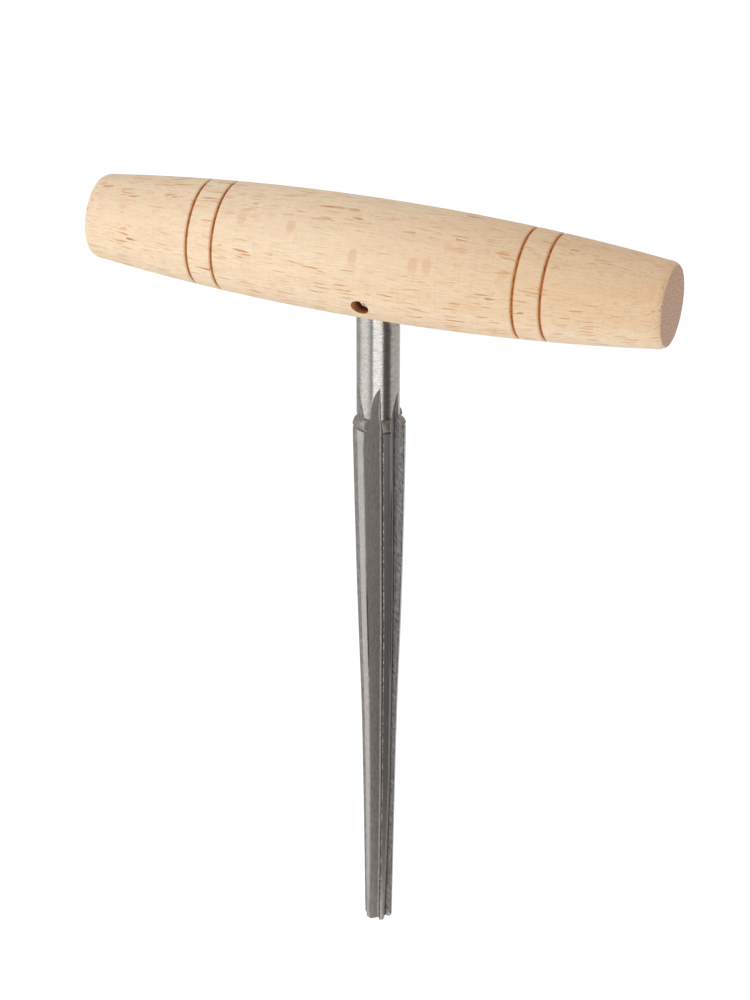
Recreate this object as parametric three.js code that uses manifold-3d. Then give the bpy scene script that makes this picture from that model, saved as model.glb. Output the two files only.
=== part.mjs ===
// Peg reamer: a turned wooden cross handle on a six-flute taper reamer, held by a slotted spring pin.
// Millimetres, +Z up. The origin is the centre of the blade's small end face. The blade and shank run
// up the Z axis, the handle lies along X, and -Y is the front.

import * as THREE from 'three';
import { mergeVertices } from 'three/addons/utils/BufferGeometryUtils.js';
import Module from 'manifold-3d';

const wasm = await Module();
wasm.setup();

// Blade
const bladeLength = 111.1;
const bladeTopRadius = 5.0;
const bladeTipRadius = 2.72;
const tipChamfer = 0.35;
// share of the length from the large end, share of the radius that is left above the tip radius
const bladeTaperShares = [
  [0, 1],
  [0.18, 0.845],
  [0.36, 0.635],
  [0.55, 0.34],
  [0.76, 0.15],
  [1, 0],
];

// Flutes: each has a flat face that slopes down to the radial cutting face of the next tooth
const fluteCount = 6;
const fluteDepthTop = 2.12;
const fluteDepthTip = 1.32;
const faceLeanDegrees = 12.8;
const runOutLift = 1.2;
const runOutRadius = 30;

// Shoulder: a rounded bead above the blade, with a narrow neck between them
const beadRise = 1.65;
const beadUndercut = 0.45;
const beadProud = 0.05;
const neckDepth = 0.4;
const neckWidth = 0.3;

// Shank
const shankRadius = 4.0;
const shankBareLength = 19.7;
const shankPastHandleAxis = 3.0;
const shankChamfer = 0.6;

// Handle
const handleLength = 110;
const handleBellyRadius = 10.9;
const handleEndRadius = 7.65;
const bellyQuarticShare = 0.07;
const bellyFlatLength = 12;
const endRoundAlong = 2.2;
const endRoundDown = 0.9;
const groovePairMiddle = 31.16;
const groovePairSpacing = 5.02;
const grooveWidth = 0.85;
const grooveDepth = 0.42;
const boreClearance = 0.15;
const boreEndGap = 0.6;

// Spring pin
const pinLength = 12;
const pinRadius = 1.5;
const pinWall = 0.45;
const pinSlot = 0.7;
const pinChamfer = 0.2;
const pinDrop = 5.6;
const pinClearance = 0.15;

// How finely the round forms are divided, and how far a cut runs past what it cuts
const handleSides = 48;
const reamerSides = 60;
const pinSides = 32;
const boreSides = 48;
const barrelSteps = 14;
const roundSteps = 5;
const runOutSteps = 12;
const beadArcSteps = 4;
const overrun = 1;

// Places that follow from the sizes
const beadBottom = bladeLength + neckWidth;
const beadCrest = beadBottom + beadUndercut;
const beadTop = beadCrest + beadRise;
const handleBottom = beadTop + shankBareLength;
const handleAxisHeight = handleBottom + handleBellyRadius;
const shankTop = handleAxisHeight + shankPastHandleAxis;
const pinHeight = handleAxisHeight - pinDrop;
const beadRadius = bladeTopRadius + beadProud;
const neckRadius = beadRadius - neckDepth;
const pinHoleRadius = pinRadius + pinClearance;
const boreRadius = shankRadius + boreClearance;
const boreTop = shankTop + boreEndGap;
const handleHalf = handleLength / 2;
const toothAngle = (2 * Math.PI) / fluteCount;
const faceLean = THREE.MathUtils.degToRad(faceLeanDegrees);

function solid(geometry) {
  const bare = geometry.clone();
  bare.deleteAttribute('normal');
  bare.deleteAttribute('uv');
  const merged = mergeVertices(bare.index ? bare.toNonIndexed() : bare);
  const mesh = new wasm.Mesh({
    numProp: 3,
    vertProperties: new Float32Array(merged.attributes.position.array),
    triVerts: new Uint32Array(merged.index.array),
  });
  return new wasm.Manifold(mesh);
}

function geometryOf(body) {
  const mesh = body.getMesh();
  const geometry = new THREE.BufferGeometry();
  geometry.setAttribute('position', new THREE.BufferAttribute(new Float32Array(mesh.vertProperties), 3));
  geometry.setIndex(new THREE.BufferAttribute(new Uint32Array(mesh.triVerts), 1));
  geometry.computeVertexNormals();
  return geometry;
}

// A closed solid of revolution about Z, from points [radius, height] listed from the bottom to the top
function turned(points, sides) {
  const outline = points.map(([radius, height]) => new THREE.Vector2(radius, height));
  const geometry = new THREE.LatheGeometry(outline, sides);
  geometry.rotateX(Math.PI / 2);
  return geometry;
}

// A plain round rod along Y through the shank's axis, for the cross hole
function rodAlongY(radius, length, sides) {
  const geometry = new THREE.CylinderGeometry(radius, radius, length, sides);
  geometry.translate(0, 0, pinHeight);
  return geometry;
}

// How far the barrel's curve has fallen at a distance x from its middle, as a share of the whole fall
function barrelFall(x) {
  const t = x / handleHalf;
  return (1 - bellyQuarticShare) * t ** 2 + bellyQuarticShare * t ** 4;
}

// Radius of the handle's barrel, which is a plain cylinder over its short flat middle
function barrelRadius(x) {
  const start = barrelFall(bellyFlatLength / 2);
  const fall = (barrelFall(x) - start) / (1 - start);
  return handleBellyRadius - (handleBellyRadius - handleEndRadius) * fall;
}

// One half of the handle's outline, from its flat middle out to the end face, as [x, radius]
function halfHandleOutline() {
  const grooves = [-1, 1].map((side) => groovePairMiddle + (side * groovePairSpacing) / 2);
  const barrelStart = bellyFlatLength / 2;
  const barrelEnd = handleHalf - endRoundAlong;
  const points = [];
  for (let step = 0; step <= barrelSteps; step += 1) {
    const x = barrelStart + ((barrelEnd - barrelStart) * step) / barrelSteps;
    if (grooves.every((middle) => Math.abs(x - middle) > grooveWidth)) {
      points.push([x, barrelRadius(x)]);
    }
  }
  for (const middle of grooves) {
    for (const side of [-1, 1]) {
      const x = middle + (side * grooveWidth) / 2;
      points.push([x, barrelRadius(x)]);
    }
    points.push([middle, barrelRadius(middle) - grooveDepth]);
  }
  points.sort((a, b) => a[0] - b[0]);
  for (let step = 1; step <= roundSteps; step += 1) {
    const turn = ((Math.PI / 2) * step) / roundSteps;
    const x = barrelEnd + endRoundAlong * Math.sin(turn);
    points.push([x, barrelRadius(barrelEnd) - endRoundDown * (1 - Math.cos(turn))]);
  }
  return points;
}

function makeHandle() {
  const half = halfHandleOutline();
  const mirrored = half.map(([x, radius]) => [radius, -x]).reverse();
  const outline = [
    [0, -handleHalf],
    ...mirrored,
    ...half.map(([x, radius]) => [radius, x]),
    [0, handleHalf],
  ];
  const barrel = turned(outline, handleSides);
  barrel.rotateY(Math.PI / 2);
  barrel.translate(0, 0, handleAxisHeight);

  const boreBottom = handleBottom - overrun;
  const bore = new THREE.CylinderGeometry(boreRadius, boreRadius, boreTop - boreBottom, boreSides);
  bore.rotateX(Math.PI / 2);
  bore.translate(0, 0, (boreTop + boreBottom) / 2);
  const crossHole = rodAlongY(pinHoleRadius, 2 * (handleBellyRadius + overrun), pinSides);
  return solid(barrel).subtract(solid(bore)).subtract(solid(crossHole));
}

// The reamer's blank before its flutes are ground, as [radius, height] from the tip to the shank's top
function reamerOutline() {
  const taper = bladeTopRadius - bladeTipRadius;
  const lands = bladeTaperShares.map(([along, left]) => [
    bladeTipRadius + taper * left,
    bladeLength * (1 - along),
  ]);
  lands.reverse();
  lands[0] = [bladeTipRadius, tipChamfer];
  const bead = [];
  for (let step = -beadArcSteps; step <= beadArcSteps; step += 1) {
    const turn = ((Math.PI / 2) * step) / beadArcSteps;
    const foot = step < 0 ? neckRadius : shankRadius;
    const reach = step < 0 ? beadUndercut : beadRise;
    bead.push([foot + (beadRadius - foot) * Math.cos(turn), beadCrest + reach * Math.sin(turn)]);
  }
  return [
    [0, 0],
    [bladeTipRadius - tipChamfer, 0],
    ...lands,
    [neckRadius, bladeLength],
    ...bead,
    [shankRadius, shankTop - shankChamfer],
    [shankRadius - shankChamfer, shankTop],
    [0, shankTop],
  ];
}

// What one pass of the grinding wheel takes away: it follows the flute's flat face up the blade, then
// leaves the shank along the wheel's own arc, and it stops at the cutting face of the tooth beside it.
function fluteCut(tooth) {
  const reach = beadRadius + overrun;
  const topFloor = bladeTopRadius - fluteDepthTop;
  const tipFloor = bladeTipRadius - fluteDepthTip;
  const slope = (topFloor - tipFloor) / bladeLength;
  const bottom = -overrun;
  const arcStart = bladeLength + runOutLift;
  const arcFloor = tipFloor + slope * arcStart;
  const wheelX = arcFloor + runOutRadius * Math.cos(Math.atan(slope));
  const wheelZ = arcStart - runOutRadius * Math.sin(Math.atan(slope));
  const startTurn = Math.PI - Math.atan(slope);
  const endTurn = Math.PI - Math.acos((wheelX - reach) / runOutRadius);

  const side = new THREE.Shape();
  side.moveTo(tipFloor + slope * bottom, bottom);
  side.lineTo(arcFloor, arcStart);
  side.absarc(wheelX, wheelZ, runOutRadius, startTurn, endTurn, true);
  side.lineTo(reach, bottom);
  side.closePath();
  const settings = { depth: 2 * reach, bevelEnabled: false, curveSegments: runOutSteps };
  const slab = new THREE.ExtrudeGeometry(side, settings);
  slab.translate(0, 0, -reach);
  slab.rotateX(Math.PI / 2);
  slab.rotateZ(tooth * toothAngle + faceLean);

  const height = 2 * (handleAxisHeight + overrun);
  const keepSide = new THREE.BoxGeometry(2 * reach, reach, height);
  keepSide.translate(0, -reach / 2, 0);
  keepSide.rotateZ(tooth * toothAngle);
  return solid(slab).intersect(solid(keepSide));
}

function makeReamer() {
  let body = solid(turned(reamerOutline(), reamerSides));
  for (let tooth = 0; tooth < fluteCount; tooth += 1) {
    body = body.subtract(fluteCut(tooth));
  }
  const crossHole = rodAlongY(pinHoleRadius, 2 * (shankRadius + overrun), pinSides);
  return body.subtract(solid(crossHole));
}

// A rolled strip of spring steel: a tube with chamfered ends, open along one side
function makeSpringPin() {
  const half = pinLength / 2;
  const rod = turned(
    [
      [0, -half],
      [pinRadius - pinChamfer, -half],
      [pinRadius, -half + pinChamfer],
      [pinRadius, half - pinChamfer],
      [pinRadius - pinChamfer, half],
      [0, half],
    ],
    pinSides,
  );
  rod.rotateX(Math.PI / 2);
  rod.translate(0, 0, pinHeight);
  const hollow = rodAlongY(pinRadius - pinWall, pinLength + 2 * overrun, pinSides);
  const slotReach = pinRadius + overrun;
  const slot = new THREE.BoxGeometry(slotReach, pinLength + 2 * overrun, pinSlot);
  slot.translate(-slotReach / 2, 0, pinHeight);
  return solid(rod).subtract(solid(hollow)).subtract(solid(slot));
}

function named(name, body, colour, roughness, metalness) {
  const material = new THREE.MeshStandardMaterial({ color: colour, roughness, metalness });
  const mesh = new THREE.Mesh(geometryOf(body), material);
  mesh.name = name;
  return mesh;
}

const pegReamer = new THREE.Group();
pegReamer.add(named('handle', makeHandle(), 0xeed3b4, 0.6, 0));
pegReamer.add(named('reamer', makeReamer(), 0x8e8b88, 0.38, 1));
pegReamer.add(named('spring_pin', makeSpringPin(), 0xb9b6b2, 0.35, 1));

export default pegReamer;
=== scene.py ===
import math

import bpy
from mathutils import Matrix, Vector


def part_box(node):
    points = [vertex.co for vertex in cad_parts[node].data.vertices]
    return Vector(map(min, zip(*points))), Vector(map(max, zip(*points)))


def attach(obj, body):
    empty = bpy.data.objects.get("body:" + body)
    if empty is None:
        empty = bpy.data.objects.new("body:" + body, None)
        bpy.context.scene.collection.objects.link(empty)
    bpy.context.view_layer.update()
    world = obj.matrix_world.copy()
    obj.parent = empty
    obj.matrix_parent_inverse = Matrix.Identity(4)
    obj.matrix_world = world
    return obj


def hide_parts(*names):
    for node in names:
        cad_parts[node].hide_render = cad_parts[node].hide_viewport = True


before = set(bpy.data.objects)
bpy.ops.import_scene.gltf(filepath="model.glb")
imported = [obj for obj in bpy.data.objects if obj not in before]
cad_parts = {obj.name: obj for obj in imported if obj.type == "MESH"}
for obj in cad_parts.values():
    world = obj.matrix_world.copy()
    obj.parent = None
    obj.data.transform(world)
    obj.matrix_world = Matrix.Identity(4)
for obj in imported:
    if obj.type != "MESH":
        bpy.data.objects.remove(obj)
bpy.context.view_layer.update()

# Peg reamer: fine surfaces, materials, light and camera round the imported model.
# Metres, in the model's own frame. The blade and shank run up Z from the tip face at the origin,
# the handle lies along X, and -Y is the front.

MM = 0.001

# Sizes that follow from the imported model
HANDLE_HIGH = Vector(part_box("handle")[1])
PIN_LOW, PIN_HIGH = (Vector(corner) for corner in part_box("spring_pin"))
HANDLE_HALF = HANDLE_HIGH.x
BELLY_RADIUS = HANDLE_HIGH.y
AXIS_HEIGHT = HANDLE_HIGH.z - BELLY_RADIUS
SHANK_TOP = Vector(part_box("reamer")[1]).z
PIN_HALF = PIN_HIGH.y
PIN_RADIUS = (PIN_HIGH.z - PIN_LOW.z) / 2
PIN_HEIGHT = (PIN_HIGH.z + PIN_LOW.z) / 2

# Blade. The taper is given as (share of the length from the large end, share of the radius that is
# left above the tip radius).
BLADE_LENGTH = 111.1 * MM
BLADE_TOP_RADIUS = 5.0 * MM
BLADE_TIP_RADIUS = 2.72 * MM
TIP_CHAMFER = 0.35 * MM
BLADE_TAPER_SHARES = ((0, 1), (0.18, 0.845), (0.36, 0.635), (0.55, 0.34), (0.76, 0.15), (1, 0))

# Flutes. Each has a flat face that leans, a cutting face and a fillet between them. Near the ends
# of a flute the fillet and the broken edge are no more than a share of its depth.
FLUTE_COUNT = 6
FLUTE_DEPTH_TOP = 2.12 * MM
FLUTE_DEPTH_TIP = 1.32 * MM
FACE_LEAN = math.radians(12.8)
RUN_OUT_LIFT = 1.2 * MM
RUN_OUT_RADIUS = 30 * MM
ROOT_FILLET, ROOT_FILLET_SHARE = 0.18 * MM, 0.3
EDGE_BREAK, EDGE_BREAK_SHARE = 0.12 * MM, 0.1

# How far the real tool strays from the regular one. The blade sits a little to the camera's right
# of the shank, and bows a little further in its middle. Flutes and teeth are counted by their
# cutting face, from +X. Some flutes leave the shank higher or lower than the rest, some roots are
# sharper or rounder, and some teeth have a flatter or lower bead. Some lands are ground nearly
# flat, as a share of a true flat; the others are round.
BLADE_OFFSET, BLADE_BOW = 0.22 * MM, 0.12 * MM
FLUTE_LIFTS = {0: -0.9 * MM, 4: 0.9 * MM, 5: 0.5 * MM}
ROOT_FILLETS = {0: 0.06 * MM, 5: 0.3 * MM}
BEAD_RISES = {0: 0.95 * MM}
BEAD_SINKS, SINK_POWER = {3: 1.3 * MM}, 8
LAND_FLATNESS = {4: 0.85, 5: 0.85}
# (height in mm, degrees the flute is turned, mm its flat face lies further out)
FLUTE_STRAYS = {
    0: (
        (0, -4, 0), (13, -4, 0.2), (32, -4, 0.45), (69, -3, 0.4), (82, -2, 0.25),
        (95, -1.7, 0.13), (108, -1.7, -0.02), (113, -4, 0.1),
    ),
    1: ((3, 2, 0), (109, 0, 0), (111.5, -8, 0)),
    4: (
        (3, -12, 0.3), (32, -8, 0.3), (60, -6, 0.3), (82, -4.8, 0.3), (108, -5.8, 0.3),
        (111.4, -5.9, 0), (112.4, 2, 0), (113.5, 12, 0), (115.5, 4, 0), (117.5, -3, 0),
        (119.5, -8, 0), (121.4, -19, 0),
    ),
    5: (
        (3, -4.2, -0.1), (13, -1, -0.1), (32, 1.8, -0.2), (50, 1.9, -0.27), (69, 1.9, -0.18),
        (82, 0.3, -0.18), (90, 0, -0.15), (108, -1.3, -0.2), (113, -1.3, 0), (121, -3.4, 0),
    ),
}
NO_STRAY = ((0, 0, 0),)

# Shoulder and shank: a bead with a narrow neck under it, which starts at once above the blade
BEAD_RISE = 1.65 * MM
BEAD_UNDERCUT = 0.45 * MM
BEAD_PROUD = 0.05 * MM
NECK_DEPTH = 0.4 * MM
NECK_WIDTH = 0.3 * MM
NECK_START_SHARE = 0.1
SHANK_RADIUS = 4.0 * MM
SHANK_CHAMFER = 0.6 * MM

# Handle
END_RADIUS = 7.65 * MM
BELLY_QUARTIC_SHARE = 0.07
END_ROUND_ALONG = 2.2 * MM
END_ROUND_DOWN = 0.9 * MM
GROOVE_PAIR_MIDDLE = 31.16 * MM
GROOVE_PAIR_SPACING = 5.02 * MM
GROOVE_WIDTH = 0.85 * MM
GROOVE_DEPTH = 0.42 * MM
GROOVE_FLOOR_SHARE = 0.3
BORE_CLEARANCE = 0.15 * MM
BORE_END_GAP = 0.6 * MM

# Spring pin. Its ends are rounded, as shares of the chamfer: (taken off the wall, from the end).
PIN_WALL = 0.45 * MM
PIN_SLOT = 0.7 * MM
PIN_CHAMFER = 0.2 * MM
PIN_ROUNDING = ((1, 0), (0.3, 0.35), (0, 1))
PIN_CLEARANCE = 0.15 * MM

# How finely the forms are divided. A flute's flat face and cutting face have points at shares of
# their width, closer together where the painted darkening ends.
HANDLE_SIDES, BARREL_STEPS, HANDLE_END_STEPS, GROOVE_STEPS = 240, 150, 12, 12
BLADE_STEPS, BLADE_TOP_STEPS, UNDERCUT_STEPS, BEAD_STEPS = 88, 26, 8, 16
RUN_OUT_STEPS, SHANK_STEPS = 70, 12
LAND_STEPS, FILLET_STEPS = 16, 6
FACE_SHARES, WALL_SHARES = (0, 0.03, 0.08, 0.3, 0.38, 0.94), (0.04, 0.2, 0.45, 0.75, 1)
PIN_STEPS = 48
HOLE_SIDES = 72
CARD_STEPS = 12
# The barrel's own stations keep clear of the grooves, whose lips are just outside them, both as
# times half a groove's width.
GROOVE_CLEARING, GROOVE_LIP = 1.3, 1.08
OVERRUN = 1.0 * MM
WELD_DISTANCE = 0.002 * MM
SEARCH_STEP = 0.01 * MM
# Edges that turn by more than this stay sharp, in degrees.
HANDLE_SHARP, REAMER_SHARP, PIN_SHARP = 28, 24, 35

# Places that follow from the sizes
BEAD_RADIUS = BLADE_TOP_RADIUS + BEAD_PROUD
NECK_RADIUS = BEAD_RADIUS - NECK_DEPTH
BEAD_BOTTOM = BLADE_LENGTH + NECK_WIDTH
BEAD_CREST = BEAD_BOTTOM + BEAD_UNDERCUT
BEAD_TOP = BEAD_CREST + BEAD_RISE
TOOTH_ANGLE = math.tau / FLUTE_COUNT
GROOVES = [
    side * (GROOVE_PAIR_MIDDLE + half * GROOVE_PAIR_SPACING / 2)
    for side in (-1, 1)
    for half in (-1, 1)
]

# The kinds of a tooth section's points, from one cutting edge to the next
LAND, FACE, WALL, EDGE = range(4)
SECTION_KINDS = (
    [LAND] * (LAND_STEPS + 1)
    + [FACE] * (len(FACE_SHARES) + FILLET_STEPS + 1)
    + [WALL] * len(WALL_SHARES)
)
# The reamer's steels, in the order of its material slots
SHANK_STEEL, BEAD_STEEL, LAND_STEEL, FACE_STEEL, WALL_STEEL, EDGE_STEEL = range(6)

# Painted darkening, from 0 to 1, by flute: painted shade up the cutting face from its foot and
# along the root, and a darker tone over the whole flat face. The front cutting face, which is
# hardly seen, is painted in shade all over.
WALL_SHADE, PLAIN_WALL_SHADE = {5: (1, 1, 0.9, 0.8, 0.7)}, (0.3, 0, 0, 0, 0)
CORNER_SHADE = {0: 0.85}
FACE_DARKENING = {4: 0.4}
# Darker along some heels: (height from, height to, points of the flat face that it covers)
HEEL_DARKENING = {0: (54 * MM, 104 * MM, 4), 5: (54 * MM, 84 * MM, 2)}
NO_HEEL_DARKENING = (0.0, 0.0, 0)
HEEL_FADE = 10 * MM

# Camera and light. Azimuths are counted from the front, elevations from the horizon, in degrees.
CAMERA_AZIMUTH, CAMERA_ELEVATION, CAMERA_ROLL = 21.167, 28.493, 0.066
CAMERA_DISTANCE = 589.65 * MM
CAMERA_AIM = Vector((-0.6, -0.03, 94.7)) * MM
CAMERA_LENS = 113.27
CAMERA_SENSOR = 36.0
CAMERA_CLIP = 10 * MM
LIGHT_AIM = Vector((0, 0, 110)) * MM
AMBIENT = 0.62
FLOOR_HEIGHT = -180 * MM
FLOOR_REACH = 6.0
FLOOR_PAINT = 0.9
# What the floor glows besides its paint, for the camera and in reflections, so that it shows white
FLOOR_GLOW = 0.45
CARD_TOP = 500 * MM
CARD_DISTANCE = 200 * MM
# Soft boxes: azimuths from the camera's, metres, and radiance in watts per square metre and
# steradian
LAMPS = {
    "key": {
        "azimuth": -40, "elevation": 36, "distance": 0.8,
        "width": 0.5, "height": 0.5, "radiance": 1.7,
    },
    "left_fill": {
        "azimuth": -82, "elevation": 10, "distance": 1.0,
        "width": 0.9, "height": 0.9, "radiance": 0.8,
    },
    "low_fill": {
        "azimuth": -4, "elevation": -22, "distance": 0.45,
        "width": 0.36, "height": 0.3, "radiance": 1.05,
    },
}
# Cards that only the steel reflects: azimuths from the camera's, and a linear shade
CARDS = (
    ("dark_card", (25.5, 68), (0.108, 0.097, 0.09)),
    ("grey_card", (68, 150), (0.78, 0.76, 0.74)),
    ("narrow_card", (-40, -29), (0.26, 0.26, 0.26)),
    ("half_card", (-52, -40), (0.8, 0.8, 0.8)),
    ("back_card", (-180, -104), (0.6, 0.6, 0.6)),
)


# Helpers for numbers and directions


def steps(low, high, count):
    """Evenly spaced values from low to high, both included."""
    return [low + (high - low) * step / count for step in range(count + 1)]


def between(stations, place):
    """Value at a place along (place, value) pairs, straight from each pair to the next."""
    if place <= stations[0][0]:
        return stations[0][1]
    for (low, start), (high, end) in zip(stations, stations[1:]):
        if place <= high:
            return start + (end - start) * (place - low) / (high - low)
    return stations[-1][1]


def direction(azimuth, elevation):
    """The way from the object towards a place at an azimuth and elevation in degrees."""
    turn, rise = math.radians(azimuth), math.radians(elevation)
    level = math.cos(rise)
    return Vector((math.sin(turn) * level, -math.cos(turn) * level, math.sin(rise)))


def outwards(turn):
    """The way at an angle in a flat section."""
    return Vector((math.cos(turn), math.sin(turn)))


# Mesh helpers


def skin(name, rings):
    """A closed mesh through rings of equally many points, with a flat face over each end."""
    count = len(rings[0])
    points = [point for ring in rings for point in ring]
    faces = [list(range(count))[::-1]]
    for row in range(len(rings) - 1):
        for column in range(count):
            beside = (column + 1) % count
            low, high = row * count, (row + 1) * count
            faces.append([low + column, low + beside, high + beside, high + column])
    last = (len(rings) - 1) * count
    faces.append(list(range(last, last + count)))
    mesh = bpy.data.meshes.new(name)
    mesh.from_pydata(points, [], faces)
    piece = bpy.data.objects.new(name, mesh)
    bpy.context.scene.collection.objects.link(piece)
    return piece


def rod(name, radius, low, high, axis, height=0.0):
    """A round rod from low to high along the Z axis, or along Y at a height, to cut a hole."""
    rings = []
    for along in (low, high):
        ring = []
        for side in range(HOLE_SIDES):
            turn = math.tau * side / HOLE_SIDES
            across, up = radius * math.cos(turn), radius * math.sin(turn)
            if axis == "Z":
                ring.append(Vector((across, up, along)))
            else:
                ring.append(Vector((-across, along, up)) + Vector((0, 0, height)))
        rings.append(ring)
    return skin(name, rings)


def applied(piece):
    """Turns the result of a piece's modifiers into its mesh."""
    graph = bpy.context.evaluated_depsgraph_get()
    mesh = bpy.data.meshes.new_from_object(piece.evaluated_get(graph))
    piece.modifiers.clear()
    piece.data = mesh


def cut(piece, cutter):
    """Takes the cutter's form out of a piece; the new faces get the cutter's material."""
    modifier = piece.modifiers.new("cut", "BOOLEAN")
    modifier.operation = "DIFFERENCE"
    modifier.solver = "EXACT"
    modifier.material_mode = "TRANSFER"
    modifier.object = cutter
    applied(piece)
    bpy.data.objects.remove(cutter)


def pin_hole(reach, material):
    """A cutter for the cross hole through a piece that reaches this far in front and behind."""
    radius = PIN_RADIUS + PIN_CLEARANCE
    cutter = rod("pin_hole", radius, -reach - OVERRUN, reach + OVERRUN, "Y", PIN_HEIGHT)
    cutter.data.materials.append(material)
    return cutter


def smooth(piece, sharp_degrees):
    """Shades a piece smooth, apart from edges that turn by more than an angle."""
    for polygon in piece.data.polygons:
        polygon.use_smooth = True
    piece.data.set_sharp_from_angle(angle=math.radians(sharp_degrees))


# Node helpers

# Sockets of the Mix node when it mixes colours
FACTOR, COLOUR_A, COLOUR_B, COLOUR_OUT = 0, 6, 7, 2


class Shader:
    """One material's or world's node tree, built step by step.

    add gives back its node, surface ends the tree, and the others give back an output.
    """

    def __init__(self, tree):
        self.tree = tree
        tree.nodes.clear()

    def add(self, kind, inputs=None, **settings):
        made = self.tree.nodes.new(kind)
        for name, value in settings.items():
            setattr(made, name, value)
        for name, value in (inputs or {}).items():
            if isinstance(value, bpy.types.NodeSocket):
                self.tree.links.new(value, made.inputs[name])
            else:
                made.inputs[name].default_value = value
        return made

    def math(self, operation, *values):
        inputs = dict(enumerate(values))
        return self.add("ShaderNodeMath", inputs, operation=operation).outputs[0]

    def plus(self, first, second):
        return self.math("ADD", first, second)

    def minus(self, first, second):
        return self.math("SUBTRACT", first, second)

    def times(self, first, second):
        return self.math("MULTIPLY", first, second)

    def ramp(self, value, low, high, to_low=0.0, to_high=1.0):
        """Goes smoothly from to_low to to_high while the value goes from low to high."""
        inputs = {
            "Value": value,
            "From Min": low,
            "From Max": high,
            "To Min": to_low,
            "To Max": to_high,
        }
        return self.add("ShaderNodeMapRange", inputs, interpolation_type="SMOOTHSTEP").outputs[0]

    def mix(self, factor, first, second, blend="MIX"):
        inputs = {FACTOR: factor, COLOUR_A: first, COLOUR_B: second}
        mixed = self.add("ShaderNodeMix", inputs, data_type="RGBA", blend_type=blend)
        return mixed.outputs[COLOUR_OUT]

    def noise(self, place, detail=2.0, roughness=0.5):
        inputs = {"Vector": place, "Scale": 1.0, "Detail": detail, "Roughness": roughness}
        return self.add("ShaderNodeTexNoise", inputs).outputs["Fac"]

    def place(self):
        """The point on the piece, in millimetres."""
        here = self.add("ShaderNodeTexCoord").outputs["Object"]
        return self.scaled(here, (1 / MM, 1 / MM, 1 / MM))

    def normal(self):
        return self.add("ShaderNodeTexCoord").outputs["Normal"]

    def painted(self, name):
        """The value that the mesh carries under a name."""
        return self.add("ShaderNodeAttribute", attribute_name=name).outputs["Fac"]

    def scaled(self, vector, scale, shift=(0, 0, 0)):
        inputs = {"Vector": vector, "Scale": scale, "Location": shift}
        return self.add("ShaderNodeMapping", inputs).outputs[0]

    def parts(self, vector):
        return self.add("ShaderNodeSeparateXYZ", {"Vector": vector}).outputs

    def vector(self, x, y, z):
        return self.add("ShaderNodeCombineXYZ", {"X": x, "Y": y, "Z": z}).outputs[0]

    def bump(self, height, strength, distance):
        inputs = {"Height": height, "Strength": strength, "Distance": distance}
        return self.add("ShaderNodeBump", inputs).outputs[0]

    def surface(self, **inputs):
        named = {name.replace("_", " "): value for name, value in inputs.items()}
        bsdf = self.add("ShaderNodeBsdfPrincipled", named)
        self.add("ShaderNodeOutputMaterial", {"Surface": bsdf.outputs[0]})


def new_material(name):
    material = bpy.data.materials.new(name)
    material.use_nodes = True
    return material, Shader(material.node_tree)


def colour(red, green, blue):
    """A linear colour from 8-bit screen values."""
    linear = []
    for value in (red, green, blue):
        share = value / 255
        linear.append(share / 12.92 if share <= 0.04045 else ((share + 0.055) / 1.055) ** 2.4)
    return (*linear, 1.0)


# Materials. Noise is scaled in cycles a millimetre, and a ramp's first two numbers are the values
# of the noise, from 0 to 1, between which it acts.

BEECH_PALE, BEECH_WARM = colour(250, 227, 196), colour(246, 218, 182)
BEECH_PINK, BEECH_SHEEN = colour(246, 215, 184), colour(255, 236, 208)
BEECH_FIBRE, BEECH_SHADE = colour(218, 178, 134), colour(240, 230, 219)
BEECH_RAY, BEECH_FLECK = colour(206, 142, 84), colour(222, 166, 116)
BEECH_BROAD = colour(230, 186, 150)
END_GRAIN_DARK, END_GRAIN_PALE = colour(178, 134, 108), colour(226, 188, 162)
GROOVE_DARK, GROOVE_BROWN = colour(150, 84, 32), colour(194, 122, 58)
GROOVE_ORANGE = colour(230, 172, 106)
BURNT_PALE, BURNT_MID = colour(250, 186, 132), colour(236, 158, 104)
BURNT_DARK, BURNT_SHADE = colour(184, 112, 70), colour(104, 60, 38)
SHANK_PALE, SHANK_DARK = colour(202, 198, 193), colour(159, 155, 150)
LAND_PALE, LAND_DARK = colour(181, 178, 174), colour(158, 155, 152)
BEAD_PALE, BEAD_DARK = colour(158, 154, 148), colour(124, 120, 114)
FLUTE_PALE, FLUTE_DARK = colour(159, 154, 150), colour(142, 137, 133)
FLUTE_STREAK = colour(172, 167, 162)
CUT_PALE, CUT_DARK = colour(199, 197, 196), colour(110, 107, 105)
EDGE_PALE, EDGE_DARK = colour(190, 186, 180), colour(92, 88, 84)
PIN_PALE, PIN_DARK = colour(246, 244, 240), colour(226, 223, 218)
# The colour of the painted darkening on the flutes: painted shade in the roots, darker bands
# elsewhere
DARKENED_STEEL = colour(72, 66, 62)

# The wide flat sides of the wood's rays face forwards and a little up. They show as soft flecks
# where the surface faces them about squarely, from one share of the full to the other, and as
# dashes elsewhere. A ray fills the middle of its cell, and fades out further from it.
RAY_TILT = math.radians(34)
SQUARE_FROM, SQUARE_FULL = 0.92, 0.99
RAY_FULL, RAY_GONE = 0.2, 0.33
# Of the rays that show, the share that shows in full, and what the faintest strength counts from
RAY_FULL_SHARE, RAY_FAINTEST = 0.4, -0.6
# How much dashes fade on flat sides, and how strong the rays of each size are, apart from the
# large ones, which show in full
DASH_LOSS = 0.6
BROAD_STRENGTH, SMALL_STRENGTH, MIDDLE_STRENGTH = 0.8, 0.6, 0.95
# How far the grain wanders, in mm
SLOW_WANDER, QUICK_WANDER = 1.3, 0.25
# Places along the handle, in mm, between which all but its underside is painted darker: painted
# shade towards the end further from the light
HANDLE_SHADE_FROM, HANDLE_SHADE_FULL = -25, 52
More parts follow.
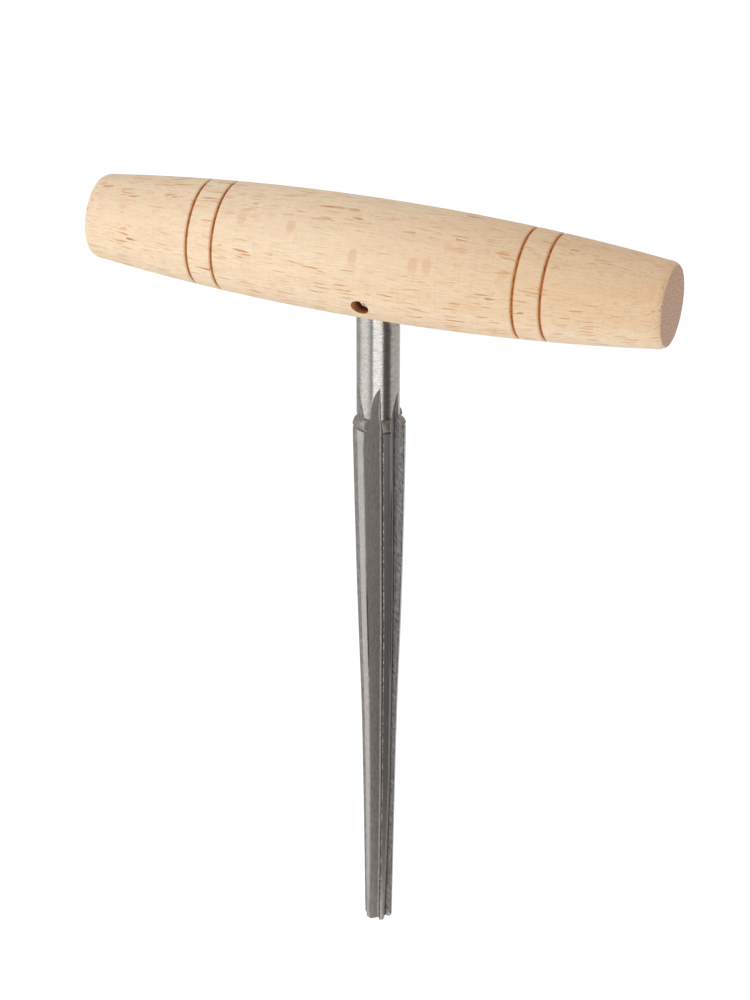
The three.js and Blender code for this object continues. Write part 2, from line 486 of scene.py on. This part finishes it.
# Shares of a groove's depth between which the wood turns orange, and orange turns to char
ORANGE_FROM, ORANGE_FULL, CHAR_FROM, CHAR_FULL = 0.38, 0.68, 0.45, 0.85
# Distances from the handle's middle plane, in mm, between which its holes are painted darker
# inwards: painted shade deep in the holes
HOLE_SHADE_FROM, HOLE_SHADE_FULL = 7.6, 6.2
# Steels ground while turning: shank, bead and lands
TURNED_STEELS = (
    ("shank_steel", SHANK_PALE, SHANK_DARK, {
        "smoothest": 0.26, "roughest": 0.34, "stretch": 0.85, "grain": 0.024 * MM,
    }),
    ("bead_steel", BEAD_PALE, BEAD_DARK, {
        "smoothest": 0.42, "roughest": 0.5, "stretch": 0.4, "grain": 0.02 * MM,
    }),
    ("land_steel", LAND_PALE, LAND_DARK, {
        "smoothest": 0.27, "roughest": 0.29, "stretch": 0.4, "grain": 0.004 * MM,
    }),
)
# How the slanting marks of the cutting faces run: cycles a mm along and across them, and slant
CUT_MARKS_ALONG, CUT_MARKS_ACROSS, CUT_SLANT = 0.7, 5.4, 0.45


def grain_frame(s, vector):
    """A vector's parts along the grain, across the rays' flat sides, and along the rays."""
    x, y, z = s.parts(vector)
    up, forward = math.sin(RAY_TILT), math.cos(RAY_TILT)
    across = s.minus(s.times(z, up), s.times(y, forward))
    along_ray = s.plus(s.times(z, forward), s.times(y, up))
    return x, across, along_ray


def make_beech():
    """Bare turned beech, with its fibres, rays and end grain, and burnt in its grooves."""
    material, s = new_material("beech")
    here = s.place()
    normal = s.normal()
    x, across, along_ray = grain_frame(s, here)
    facing = s.math("ABSOLUTE", grain_frame(s, normal)[1])

    # Slow and quick drifts make the grain wander, so that no two marks lie quite alike.
    slow = s.noise(s.vector(s.times(x, 0.07), s.times(across, 0.25), along_ray), detail=1.0)
    quick = s.noise(s.vector(s.times(x, 0.5), across, s.times(along_ray, 0.4)), detail=2.0)
    drift = s.times(s.minus(slow, 0.5), SLOW_WANDER)
    drift = s.plus(drift, s.times(s.minus(quick, 0.5), QUICK_WANDER))
    wavy = s.vector(x, s.plus(across, drift), along_ray)

    def rays(length, thickness, height, share, seed):
        """Rays of a size in mm, in a share of their cells, some of them fainter than others."""
        scale = (1 / length, 1 / thickness, 1 / height)
        place = s.scaled(wavy, scale, shift=(seed, seed, seed))
        cells = s.add("ShaderNodeTexVoronoi", {"Vector": place, "Scale": 1.0, "Randomness": 1.0})
        drawn = s.parts(cells.outputs["Color"])
        core = s.ramp(cells.outputs["Distance"], RAY_GONE, RAY_FULL)
        chosen = s.ramp(drawn[0], 1 - share, 1 - share * RAY_FULL_SHARE)
        return s.times(s.times(core, chosen), s.ramp(drawn[1], RAY_FAINTEST, 1.0))

    large = rays(length=8.0, thickness=0.44, height=1.3, share=0.3, seed=3.7)
    middle = rays(length=6.4, thickness=0.36, height=1.1, share=0.6, seed=8.1)
    small = rays(length=5.0, thickness=0.26, height=1.0, share=0.6, seed=11.3)
    broad = rays(length=3.3, thickness=1.8, height=6.2, share=0.95, seed=5.9)
    flat_side = s.ramp(facing, SQUARE_FROM, SQUARE_FULL)
    on_edge = s.minus(1.0, s.times(flat_side, DASH_LOSS))

    bands = s.noise(s.scaled(wavy, (0.012, 0.2, 0.6)), detail=3.0, roughness=0.6)
    blotches = s.noise(s.scaled(here, (0.045, 0.1, 0.1)), detail=2.0)
    fibres = s.noise(s.scaled(wavy, (0.35, 5.0, 5.0)), detail=4.0, roughness=0.7)
    shimmer = s.noise(s.scaled(here, (2.6, 0.25, 0.25)), detail=3.0, roughness=0.65)

    wood = s.mix(s.ramp(bands, 0.3, 0.7), BEECH_PALE, BEECH_WARM)
    wood = s.mix(s.ramp(blotches, 0.4, 0.75, to_high=0.6), wood, BEECH_PINK)
    fine = s.ramp(fibres, 0.42, 0.75, to_high=0.75)
    fine = s.times(fine, s.ramp(flat_side, 0, 1, to_low=1, to_high=0.75))
    wood = s.mix(fine, wood, BEECH_FIBRE)
    wood = s.mix(s.ramp(shimmer, 0.35, 0.75, to_high=0.3), wood, BEECH_SHEEN)
    # Painted shade: towards +X the handle is painted darker, except on its underside
    not_under = s.ramp(s.parts(normal)[2], -0.6, 0.1)
    painted_shade = s.times(s.ramp(x, HANDLE_SHADE_FROM, HANDLE_SHADE_FULL), not_under)
    wood = s.mix(painted_shade, wood, s.mix(1.0, wood, BEECH_SHADE, "MULTIPLY"))

    # The rays, from the faintest to the strongest
    fleck = s.mix(flat_side, BEECH_RAY, BEECH_FLECK)
    wood = s.mix(s.times(broad, s.times(flat_side, BROAD_STRENGTH)), wood, BEECH_BROAD)
    wood = s.mix(s.times(small, s.times(on_edge, SMALL_STRENGTH)), wood, fleck)
    wood = s.mix(s.times(middle, s.times(on_edge, MIDDLE_STRENGTH)), wood, fleck)
    wood = s.mix(large, wood, fleck)

    # End grain is darker, pinker and finely speckled.
    endwise = s.ramp(s.math("ABSOLUTE", s.parts(normal)[0]), 0.8, 0.97)
    speckle = s.noise(s.scaled(here, (2.6, 2.6, 2.6)), detail=4.0, roughness=0.8)
    end_wood = s.mix(s.ramp(speckle, 0.42, 0.58), END_GRAIN_DARK, END_GRAIN_PALE)
    wood = s.mix(endwise, wood, end_wood)

    # The grooves are burnt, darkest at the bottom.
    char = s.painted("char")
    soot = s.noise(s.scaled(here, (3, 1.4, 1.4)), detail=3.0)
    burnt = s.mix(s.ramp(soot, 0.35, 0.65), GROOVE_DARK, GROOVE_BROWN)
    scorched = s.mix(s.ramp(char, CHAR_FROM, CHAR_FULL), GROOVE_ORANGE, burnt)
    wood = s.mix(s.ramp(char, ORANGE_FROM, ORANGE_FULL), wood, scorched)

    height = s.plus(s.times(fibres, 0.7), s.times(shimmer, 0.25))
    height = s.minus(height, s.times(large, 0.3))
    s.surface(
        Base_Color=wood,
        Roughness=s.ramp(fibres, 0.2, 0.8, to_low=0.5, to_high=0.62),
        Normal=s.bump(height, strength=0.25, distance=0.04 * MM),
        Specular_IOR_Level=0.3,
    )
    return material


def make_burnt_shaded_beech():
    """The wood inside the holes, scorched by the drill, with painted shade on the upper side and
    deep inside.
    """
    material, s = new_material("burnt_shaded_beech")
    here = s.place()
    fibres = s.noise(s.scaled(here, (0.7, 5.0, 5.0)), detail=3.0, roughness=0.65)
    soot = s.noise(s.scaled(here, (0.8, 0.8, 0.8)), detail=2.0)
    wood = s.mix(s.ramp(soot, 0.3, 0.7), BURNT_PALE, BURNT_MID)
    wood = s.mix(s.ramp(fibres, 0.4, 0.75, to_high=0.6), wood, BURNT_DARK)
    # Painted shade: the upper side of the cross hole is darker, and so is all that lies deep in the
    # handle.
    upper_shade = s.ramp(s.parts(s.normal())[2], 0.1, -0.5)
    inner_shade = s.ramp(s.math("ABSOLUTE", s.parts(here)[1]), HOLE_SHADE_FROM, HOLE_SHADE_FULL)
    wood = s.mix(s.times(s.math("MAXIMUM", upper_shade, inner_shade), 0.8), wood, BURNT_SHADE)
    s.surface(
        Base_Color=wood,
        Roughness=s.ramp(fibres, 0.2, 0.8, to_low=0.6, to_high=0.75),
        Normal=s.bump(fibres, strength=0.5, distance=0.08 * MM),
        Specular_IOR_Level=0.25,
    )
    return material


def darkening_cover(s, pattern):
    """How much of a steel is painted darker, painted shade in the roots among it, with a ragged
    border.
    """
    ragged = s.plus(s.painted("darkening"), s.times(s.minus(pattern, 0.5), 0.5))
    return s.ramp(ragged, 0.2, 0.8)


def make_turned_steel(name, pale, dark, smoothest, roughest, stretch, grain):
    """Steel ground while turning, so the marks run round the axis and gloss spreads along it."""
    material, s = new_material(name)
    here = s.place()
    marks = s.noise(s.scaled(here, (0.8, 0.8, 4.4)), detail=4.0, roughness=0.7)
    specks = s.noise(s.scaled(here, (3.2, 3.2, 5.5)), detail=3.0, roughness=0.7)
    coarse = s.noise(s.scaled(here, (0.3, 0.3, 1.1)), detail=2.0)
    texture = s.plus(s.times(marks, 0.6), s.times(specks, 0.4))
    steel = s.mix(s.ramp(texture, 0.36, 0.64), dark, pale)
    steel = s.mix(s.ramp(coarse, 0.4, 0.8, to_high=0.4), steel, dark)
    tangent = s.add("ShaderNodeTangent", direction_type="RADIAL", axis="Z").outputs[0]
    s.surface(
        Base_Color=steel,
        Metallic=1.0,
        Roughness=s.ramp(texture, 0.3, 0.7, to_low=roughest, to_high=smoothest),
        Anisotropic=stretch,
        Anisotropic_Rotation=0.25,
        Tangent=tangent,
        Normal=s.bump(texture, strength=0.5, distance=grain),
    )
    return material


def make_edge_steel():
    """The break of the cutting edges: bright, but nicked and uneven."""
    material, s = new_material("edge_steel")
    here = s.place()
    nicks = s.noise(s.scaled(here, (0.8, 0.8, 1.1)), detail=4.0, roughness=0.75)
    steel = s.mix(s.ramp(nicks, 0.42, 0.66), EDGE_DARK, EDGE_PALE)
    s.surface(
        Base_Color=steel,
        Metallic=1.0,
        Roughness=s.ramp(nicks, 0.3, 0.7, to_low=0.5, to_high=0.36),
        Normal=s.bump(nicks, strength=0.6, distance=0.03 * MM),
    )
    return material


def make_fluted_steel():
    """Flute faces: ground along the blade, duller than the shank, with a faint mottle."""
    material, s = new_material("fluted_steel")
    here = s.place()
    streaks = s.noise(s.scaled(here, (4.0, 4.0, 0.2)), detail=3.0, roughness=0.65)
    mottle = s.noise(s.scaled(here, (2.0, 2.0, 0.9)), detail=4.0, roughness=0.75)
    specks = s.noise(s.scaled(here, (5.0, 5.0, 4.0)), detail=2.0)
    steel = s.mix(s.ramp(mottle, 0.35, 0.65), FLUTE_PALE, FLUTE_DARK)
    steel = s.mix(s.ramp(streaks, 0.45, 0.75, to_high=0.6), steel, FLUTE_STREAK)
    steel = s.mix(s.ramp(specks, 0.55, 0.75, to_high=0.5), steel, FLUTE_DARK)
    # Painted shade in the roots and darker bands, as the mesh carries them
    darkness = darkening_cover(s, mottle)
    s.surface(
        Base_Color=s.mix(darkness, steel, DARKENED_STEEL),
        Metallic=s.minus(1.0, darkness),
        Roughness=s.ramp(mottle, 0.3, 0.7, to_low=0.52, to_high=0.62),
        Normal=s.bump(s.plus(specks, streaks), strength=0.35, distance=0.01 * MM),
        Specular_IOR_Level=0.0,
    )
    return material


def make_cutting_face_steel():
    """Cutting faces: coarsely ground, with short slanting marks."""
    material, s = new_material("cutting_face_steel")
    here = s.place()
    x, y, z = s.parts(here)
    outward = s.math("SQRT", s.plus(s.times(x, x), s.times(y, y)))
    slanted = s.plus(s.times(z, CUT_SLANT), outward)
    lines = s.vector(s.times(z, CUT_MARKS_ALONG), s.times(slanted, CUT_MARKS_ACROSS), 0.0)
    marks = s.noise(lines, detail=3.0, roughness=0.75)
    steel = s.mix(s.ramp(marks, 0.37, 0.63), CUT_DARK, CUT_PALE)
    # Painted shade at the foot and over the front cutting face, as the mesh carries it
    darkness = darkening_cover(s, marks)
    s.surface(
        Base_Color=s.mix(darkness, steel, DARKENED_STEEL),
        Metallic=s.minus(1.0, darkness),
        Roughness=s.ramp(marks, 0.2, 0.8, to_low=0.44, to_high=0.56),
        Normal=s.bump(marks, strength=0.7, distance=0.025 * MM),
        Specular_IOR_Level=0.0,
    )
    return material


def make_pin_steel():
    """Bright rolled spring steel, with faint marks along the pin."""
    material, s = new_material("pin_steel")
    here = s.place()
    marks = s.noise(s.scaled(here, (6.0, 0.8, 6.0)), detail=3.0)
    steel = s.mix(s.ramp(marks, 0.3, 0.7), PIN_DARK, PIN_PALE)
    s.surface(
        Base_Color=steel,
        Metallic=1.0,
        Roughness=s.ramp(marks, 0.2, 0.8, to_low=0.24, to_high=0.34),
        Normal=s.bump(marks, strength=0.3, distance=0.01 * MM),
    )
    return material


# Handle


def barrel_radius(x):
    """Radius of the barrel at x, without its grooves."""
    t = x / HANDLE_HALF
    fall = (1 - BELLY_QUARTIC_SHARE) * t**2 + BELLY_QUARTIC_SHARE * t**4
    return BELLY_RADIUS - (BELLY_RADIUS - END_RADIUS) * fall


def groove_share(x):
    """How deep a groove is at x, as a share of its full depth: a V with a small round floor."""
    off = min(abs(x - groove) for groove in GROOVES) / (GROOVE_WIDTH / 2)
    if off >= 1:
        return 0.0
    edge = math.hypot(1, GROOVE_FLOOR_SHARE)
    return (edge - math.hypot(off, GROOVE_FLOOR_SHARE)) / (edge - GROOVE_FLOOR_SHARE)


def handle_outline():
    """The handle's outline from end to end, as (x, radius)."""
    barrel_end = HANDLE_HALF - END_ROUND_ALONG
    places = steps(-barrel_end, barrel_end, BARREL_STEPS)
    reach = GROOVE_WIDTH / 2
    for groove in GROOVES:
        places = [x for x in places if abs(x - groove) > reach * GROOVE_CLEARING]
        places += steps(groove - reach, groove + reach, GROOVE_STEPS)
        places += [groove - reach * GROOVE_LIP, groove + reach * GROOVE_LIP]
    body = [(x, barrel_radius(x) - GROOVE_DEPTH * groove_share(x)) for x in sorted(places)]
    ends = []
    for turn in steps(0, math.pi / 2, HANDLE_END_STEPS)[1:]:
        x = barrel_end + END_ROUND_ALONG * math.sin(turn)
        ends.append((x, barrel_radius(barrel_end) - END_ROUND_DOWN * (1 - math.cos(turn))))
    return [(-x, radius) for x, radius in reversed(ends)] + body + ends


def make_handle(beech, burnt):
    """The turned handle with its bore and cross hole; its mesh carries how deep the grooves are."""
    rings = []
    for x, radius in handle_outline():
        ring = []
        for side in range(HANDLE_SIDES):
            turn = math.tau * side / HANDLE_SIDES
            across, up = radius * math.cos(turn), radius * math.sin(turn)
            ring.append(Vector((x, across, AXIS_HEIGHT + up)))
        rings.append(ring)
    handle = skin("beech_handle", rings)
    handle.data.materials.append(beech)

    bore_radius, bore_mouth = SHANK_RADIUS + BORE_CLEARANCE, AXIS_HEIGHT - BELLY_RADIUS
    bore = rod("bore", bore_radius, bore_mouth - OVERRUN, SHANK_TOP + BORE_END_GAP, "Z")
    bore.data.materials.append(burnt)
    cut(handle, bore)
    cut(handle, pin_hole(BELLY_RADIUS, burnt))

    char = handle.data.attributes.new("char", "FLOAT", "POINT")
    for vertex in handle.data.vertices:
        char.data[vertex.index].value = groove_share(vertex.co.x)
    smooth(handle, HANDLE_SHARP)
    return handle


# Reamer


def blade_radius(height):
    """Radius over the lands, smooth through the taper's stations."""
    share = 1 - height / BLADE_LENGTH
    stations = BLADE_TAPER_SHARES
    slopes = [(b[1] - a[1]) / (b[0] - a[0]) for a, b in zip(stations, stations[1:])]
    tangents = [slopes[0]] + [(a + b) / 2 for a, b in zip(slopes, slopes[1:])] + [slopes[-1]]
    for index, (start, end) in enumerate(zip(stations, stations[1:])):
        if share <= end[0] or end is stations[-1]:
            width = end[0] - start[0]
            t = (share - start[0]) / width
            left = (
                (2 * t**3 - 3 * t**2 + 1) * start[1]
                + (t**3 - 2 * t**2 + t) * width * tangents[index]
                + (3 * t**2 - 2 * t**3) * end[1]
                + (t**3 - t**2) * width * tangents[index + 1]
            )
            return BLADE_TIP_RADIUS + (BLADE_TOP_RADIUS - BLADE_TIP_RADIUS) * left


def flute_floor(height, lift):
    """How far a flute's flat face is from the axis; past the blade it leaves on the wheel's arc."""
    top_floor = BLADE_TOP_RADIUS - FLUTE_DEPTH_TOP
    tip_floor = BLADE_TIP_RADIUS - FLUTE_DEPTH_TIP
    slope = (top_floor - tip_floor) / BLADE_LENGTH
    arc_start = BLADE_LENGTH + RUN_OUT_LIFT + lift
    if height <= arc_start:
        return tip_floor + slope * height
    wheel_x = tip_floor + slope * arc_start + RUN_OUT_RADIUS * math.cos(math.atan(slope))
    wheel_z = arc_start - RUN_OUT_RADIUS * math.sin(math.atan(slope))
    return wheel_x - math.sqrt(max(RUN_OUT_RADIUS**2 - (height - wheel_z) ** 2, 0.0))


def flute_turn(flute, height):
    """How far a flute's cutting face is turned from its regular place at a height."""
    strays = FLUTE_STRAYS.get(flute % FLUTE_COUNT, NO_STRAY)
    return math.radians(between([(mm, turn) for mm, turn, out in strays], height / MM))


def flute_rise(flute, height):
    """How far a flute's flat face lies further out than its regular place at a height."""
    strays = FLUTE_STRAYS.get(flute % FLUTE_COUNT, NO_STRAY)
    return between([(mm, out) for mm, turn, out in strays], height / MM) * MM


def blade_drift(height):
    """How far the blade lies to the camera's right of the shank's axis at a height."""
    share = min(max((BEAD_TOP - height) / (BEAD_TOP - BEAD_CREST), 0.0), 1.0)
    bow = math.sin(math.pi * min(max(height / BLADE_LENGTH, 0.0), 1.0))
    return direction(CAMERA_AZIMUTH + 90, 0) * (BLADE_OFFSET * share + BLADE_BOW * bow)


def reamer_outline():
    """(height, radius) of the reamer before its flutes are ground, from the tip upwards."""
    outline = [(0, BLADE_TIP_RADIUS - TIP_CHAMFER), (TIP_CHAMFER, blade_radius(TIP_CHAMFER))]
    fine = BLADE_LENGTH - 2 * BEAD_RISE
    heights = steps(TIP_CHAMFER, fine, BLADE_STEPS)[1:]
    heights += steps(fine, BLADE_LENGTH, BLADE_TOP_STEPS)[1:]
    outline += [(z, blade_radius(z)) for z in heights]
    outline.append((BLADE_LENGTH + NECK_WIDTH * NECK_START_SHARE, NECK_RADIUS))
    for turn in steps(-math.pi / 2, 0, UNDERCUT_STEPS):
        radius = NECK_RADIUS + (BEAD_RADIUS - NECK_RADIUS) * math.cos(turn)
        outline.append((BEAD_CREST + BEAD_UNDERCUT * math.sin(turn), radius))
    for turn in steps(0, math.pi / 2, BEAD_STEPS)[1:]:
        radius = SHANK_RADIUS + (BEAD_RADIUS - SHANK_RADIUS) * math.cos(turn)
        outline.append((BEAD_CREST + BEAD_RISE * math.sin(turn), radius))
    # The height at which the highest flute has left the shank
    closed = BEAD_TOP
    while flute_floor(closed, max(FLUTE_LIFTS.values())) < SHANK_RADIUS * math.cos(FACE_LEAN):
        closed += SEARCH_STEP
    heights = steps(BEAD_TOP, closed, RUN_OUT_STEPS)[1:]
    heights += steps(closed, SHANK_TOP - SHANK_CHAMFER, SHANK_STEPS)[1:]
    outline += [(z, SHANK_RADIUS) for z in heights]
    outline.append((SHANK_TOP, SHANK_RADIUS - SHANK_CHAMFER))
    return outline


def tooth_section(radius, wall_radius, floor, land_start, flatness, root_fillet):
    """One tooth's land and the flute after it, from one cutting edge to the next.

    The next tooth's cutting face lies along the angle 0, and the land starts at a negative angle.
    """
    root = floor / math.cos(FACE_LEAN)
    depth = max(min(radius, wall_radius) - root, 0.0)
    if depth == 0.0:
        floor = min(radius, wall_radius) * math.cos(FACE_LEAN)
    edge = min(EDGE_BREAK, depth * EDGE_BREAK_SHARE)
    fillet = min(root_fillet, depth * ROOT_FILLET_SHARE)
    heel_turn = FACE_LEAN - math.acos(min(floor / radius, 1.0))
    heel = outwards(heel_turn) * radius
    middle = Vector(((floor + fillet * (1 + math.sin(FACE_LEAN))) / math.cos(FACE_LEAN), -fillet))
    foot = middle - outwards(FACE_LEAN) * fillet
    face = foot - heel
    start = heel + face.normalized() * edge if face.length > 0 else heel

    turns = steps(land_start + edge / radius, heel_turn - edge / radius, LAND_STEPS)
    arc = [outwards(turn) * radius for turn in turns]
    chord = [arc[0].lerp(arc[-1], share) for share in steps(0, 1, LAND_STEPS)]
    turns = steps(FACE_LEAN - math.pi, -math.tau + math.pi / 2, FILLET_STEPS)
    wall_foot, wall_top = Vector((middle.x, 0)), Vector((wall_radius - edge, 0))
    return (
        [on_arc.lerp(on_chord, flatness) for on_arc, on_chord in zip(arc, chord)]
        + [start.lerp(foot, share) for share in FACE_SHARES]
        + [middle + outwards(turn) * fillet for turn in turns]
        + [wall_foot.lerp(wall_top, share) for share in WALL_SHARES]
    )


def section_darkening(flute, height):
    """How dark each point of a section is painted: painted shade in the root, darker heels and
    faces.
    """
    low, high, covered = HEEL_DARKENING.get(flute, NO_HEEL_DARKENING)
    heel = min(max(min(height - low, high - height) / HEEL_FADE, 0.0), 1.0)
    wall = WALL_SHADE.get(flute, PLAIN_WALL_SHADE)
    corner = CORNER_SHADE.get(flute, 0.0)
    whole_face = FACE_DARKENING.get(flute, 0.0)
    face = [max(heel, whole_face)] * covered + [whole_face] * (len(FACE_SHARES) - covered)
    fillet = [max(corner, whole_face)] * FILLET_STEPS + [max(corner, wall[0])]
    return [0.0] * (LAND_STEPS + 1) + face + fillet + list(wall)


def tooth_radius(outline, tooth, height):
    """Radius of a tooth at a height; some teeth have a flatter or lower bead than the others."""
    tooth %= FLUTE_COUNT
    above = max(height - BEAD_CREST, 0.0)
    squeeze = BEAD_RISE / BEAD_RISES.get(tooth, BEAD_RISE)
    sink = BEAD_SINKS.get(tooth, 0.0) * min(height / BLADE_LENGTH, 1.0) ** SINK_POWER
    return between(outline, height + above * (squeeze - 1) + sink)


def reamer_ring(outline, height):
    """The points round the reamer at a height."""
    ring = []
    shift = blade_drift(height) + Vector((0, 0, height))
    for flute in range(FLUTE_COUNT):
        turn = flute_turn(flute, height)
        land_start = flute_turn(flute - 1, height) - turn - TOOTH_ANGLE
        floor = flute_floor(height, FLUTE_LIFTS.get(flute, 0.0)) + flute_rise(flute, height)
        flatness = LAND_FLATNESS.get((flute - 1) % FLUTE_COUNT, 0.0)
        if height > BLADE_LENGTH:
            flatness = 0.0
        radii = [tooth_radius(outline, tooth, height) for tooth in (flute - 1, flute)]
        fillet = ROOT_FILLETS.get(flute, ROOT_FILLET)
        section = tooth_section(*radii, floor, land_start, flatness, fillet)
        spin = Matrix.Rotation(flute * TOOTH_ANGLE + turn, 2)
        ring += [(spin @ point).to_3d() + shift for point in section]
    return ring


def steel_at(kind, height):
    """Which of the reamer's steels a face of a kind has, by the height of its upper side."""
    if kind == FACE:
        return FACE_STEEL
    if kind == WALL:
        return WALL_STEEL
    if height <= BEAD_BOTTOM:
        return EDGE_STEEL if kind == EDGE else LAND_STEEL
    return BEAD_STEEL if height <= BEAD_TOP else SHANK_STEEL


def make_reamer(steels):
    """Shank, bead and fluted blade in one piece; its mesh carries how dark it is painted, shade in
    the roots among it.
    """
    outline = reamer_outline()
    rings = [reamer_ring(outline, height) for height, radius in outline]
    reamer = skin("steel_reamer", rings)
    for steel in steels:
        reamer.data.materials.append(steel)

    # The faces between the rings, without the flat ones over both ends
    kinds = [max(pair) for pair in zip(SECTION_KINDS, SECTION_KINDS[1:])] + [EDGE]
    kinds *= FLUTE_COUNT
    for index, polygon in enumerate(list(reamer.data.polygons)[1:-1]):
        row, column = divmod(index, len(kinds))
        polygon.material_index = steel_at(kinds[column], rings[row + 1][0].z)

    # Painted shade in the flute roots and on the front cutting face, and darker bands along some
    # heels and faces
    darkening = []
    for height, radius in outline:
        for flute in range(FLUTE_COUNT):
            darkening += section_darkening(flute, height)
    reamer.data.attributes.new("darkening", "FLOAT", "POINT").data.foreach_set("value", darkening)

    weld = reamer.modifiers.new("weld", "WELD")
    weld.merge_threshold = WELD_DISTANCE
    applied(reamer)
    cut(reamer, pin_hole(SHANK_RADIUS, steels[FACE_STEEL]))
    smooth(reamer, REAMER_SHARP)
    return reamer


# Spring pin


def pin_ring(outer, inner, along):
    """The pin's C-shaped section: round its outside from the slot, and back round its inside."""
    outer_gap = math.asin(PIN_SLOT / 2 / outer)
    inner_gap = math.asin(PIN_SLOT / 2 / inner)
    there = steps(-math.pi + outer_gap, math.pi - outer_gap, PIN_STEPS)
    back = steps(math.pi - inner_gap, -math.pi + inner_gap, PIN_STEPS)
    return [
        Vector((radius * math.cos(turn), along, PIN_HEIGHT + radius * math.sin(turn)))
        for radius, turns in ((outer, there), (inner, back))
        for turn in turns
    ]


def make_pin(steel):
    """The rolled pin, with its slot and its rounded ends."""
    # Each end is rounded outside and inside; the depths are counted from the end.
    end = []
    for off, depth in PIN_ROUNDING:
        outer, inner = PIN_RADIUS - PIN_CHAMFER * off, PIN_RADIUS - PIN_WALL + PIN_CHAMFER * off
        end.append((outer, inner, PIN_CHAMFER * depth))
    rings = [pin_ring(outer, inner, PIN_HALF - depth) for outer, inner, depth in end]
    rings += [pin_ring(outer, inner, depth - PIN_HALF) for outer, inner, depth in reversed(end)]
    pin = skin("rolled_spring_pin", rings)
    pin.data.materials.append(steel)
    smooth(pin, PIN_SHARP)
    return pin


# Light, floor and camera


def make_camera():
    """The camera at the photograph's viewing angle."""
    camera = bpy.data.cameras.new("camera")
    camera.lens = CAMERA_LENS
    camera.sensor_width = CAMERA_SENSOR
    camera.clip_start = CAMERA_CLIP
    holder = bpy.data.objects.new("camera", camera)
    back = direction(CAMERA_AZIMUTH, CAMERA_ELEVATION)
    level = back.to_track_quat("Z", "Y").to_matrix()
    roll = Matrix.Rotation(math.radians(CAMERA_ROLL), 3, "Z")
    place = CAMERA_AIM + back * CAMERA_DISTANCE
    holder.matrix_world = Matrix.Translation(place) @ (level @ roll).to_4x4()
    bpy.context.scene.collection.objects.link(holder)
    bpy.context.scene.camera = holder


def make_lamp(name, azimuth, elevation, distance, width, height, radiance):
    """A soft box that looks at the object; azimuth is counted from the camera's."""
    lamp = bpy.data.lights.new(name, "AREA")
    lamp.shape = "RECTANGLE"
    lamp.size, lamp.size_y = width, height
    lamp.energy = radiance * math.pi * width * height
    holder = bpy.data.objects.new(name, lamp)
    away = direction(CAMERA_AZIMUTH + azimuth, elevation)
    holder.location = LIGHT_AIM + away * distance
    holder.rotation_euler = away.to_track_quat("Z", "Y").to_euler()
    bpy.context.scene.collection.objects.link(holder)


def make_card(name, azimuths, shade):
    """A bent upright card beside the object that only its reflections see."""
    points = []
    turns = steps(*azimuths, CARD_STEPS)
    for height in (FLOOR_HEIGHT, CARD_TOP):
        for turn in turns:
            point = direction(CAMERA_AZIMUTH + turn, 0) * CARD_DISTANCE
            points.append((point.x, point.y, height))
    count = len(turns)
    faces = [(i, i + 1, count + i + 1, count + i) for i in range(count - 1)]
    mesh = bpy.data.meshes.new(name)
    mesh.from_pydata(points, [], faces)
    card = bpy.data.objects.new(name, mesh)
    material, s = new_material(name)
    emission = s.add("ShaderNodeEmission", {"Color": (*shade, 1), "Strength": 1.0})
    s.add("ShaderNodeOutputMaterial", {"Surface": emission.outputs[0]})
    mesh.materials.append(material)
    card.visible_camera = False
    card.visible_diffuse = False
    card.visible_shadow = False
    bpy.context.scene.collection.objects.link(card)


def background_ray(s):
    """One where a ray from the camera, or from gloss or glass, meets the background."""
    path = s.add("ShaderNodeLightPath").outputs
    seen = s.math("MAXIMUM", path["Is Camera Ray"], path["Is Glossy Ray"])
    return s.math("MAXIMUM", seen, path["Is Transmission Ray"])


def make_world():
    """Soft even light on the object, and white behind it."""
    world = bpy.data.worlds.new("studio")
    world.use_nodes = True
    s = Shader(world.node_tree)
    white = s.add("ShaderNodeBackground", {"Color": (1, 1, 1, 1), "Strength": 1.0}).outputs[0]
    soft = s.add("ShaderNodeBackground", {"Color": (1, 1, 1, 1), "Strength": AMBIENT}).outputs[0]
    chosen = s.add("ShaderNodeMixShader", {0: background_ray(s), 1: soft, 2: white}).outputs[0]
    s.add("ShaderNodeOutputWorld", {"Surface": chosen})
    bpy.context.scene.world = world


def make_floor():
    """A plain white floor that keeps the object's shadow."""
    mesh = bpy.data.meshes.new("floor")
    corners = [(-1, -1), (1, -1), (1, 1), (-1, 1)]
    points = [(x * FLOOR_REACH, y * FLOOR_REACH, FLOOR_HEIGHT) for x, y in corners]
    mesh.from_pydata(points, [], [(0, 1, 2, 3)])
    floor = bpy.data.objects.new("floor", mesh)
    material, s = new_material("floor")
    shade = (FLOOR_PAINT, FLOOR_PAINT, FLOOR_PAINT, 1)
    paint = s.add("ShaderNodeBsdfDiffuse", {"Color": shade}).outputs[0]
    strength = s.times(background_ray(s), FLOOR_GLOW)
    glow = s.add("ShaderNodeEmission", {"Color": (1, 1, 1, 1), "Strength": strength}).outputs[0]
    both = s.add("ShaderNodeAddShader", {0: paint, 1: glow}).outputs[0]
    s.add("ShaderNodeOutputMaterial", {"Surface": both})
    mesh.materials.append(material)
    bpy.context.scene.collection.objects.link(floor)


bpy.context.scene.view_settings.view_transform = "Standard"
make_camera()
make_world()
make_floor()
for name, sizes in LAMPS.items():
    make_lamp(name, **sizes)
for name, azimuths, shade in CARDS:
    make_card(name, azimuths, shade)

turned_steels = [
    make_turned_steel(name, pale, dark, **finish)
    for name, pale, dark, finish in TURNED_STEELS
]
# In the order of SHANK_STEEL to EDGE_STEEL
reamer_steels = turned_steels + [
    make_fluted_steel(),
    make_cutting_face_steel(),
    make_edge_steel(),
]
pieces = [
    (make_handle(make_beech(), make_burnt_shaded_beech()), "handle", "handle_wood"),
    (make_reamer(reamer_steels), "reamer", "reamer_steel"),
    (make_pin(make_pin_steel()), "spring_pin", "pin_steel"),
]
for piece, node, slot in pieces:
    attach(piece, "root")
    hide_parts(node)

bpy.context.view_layer.update()
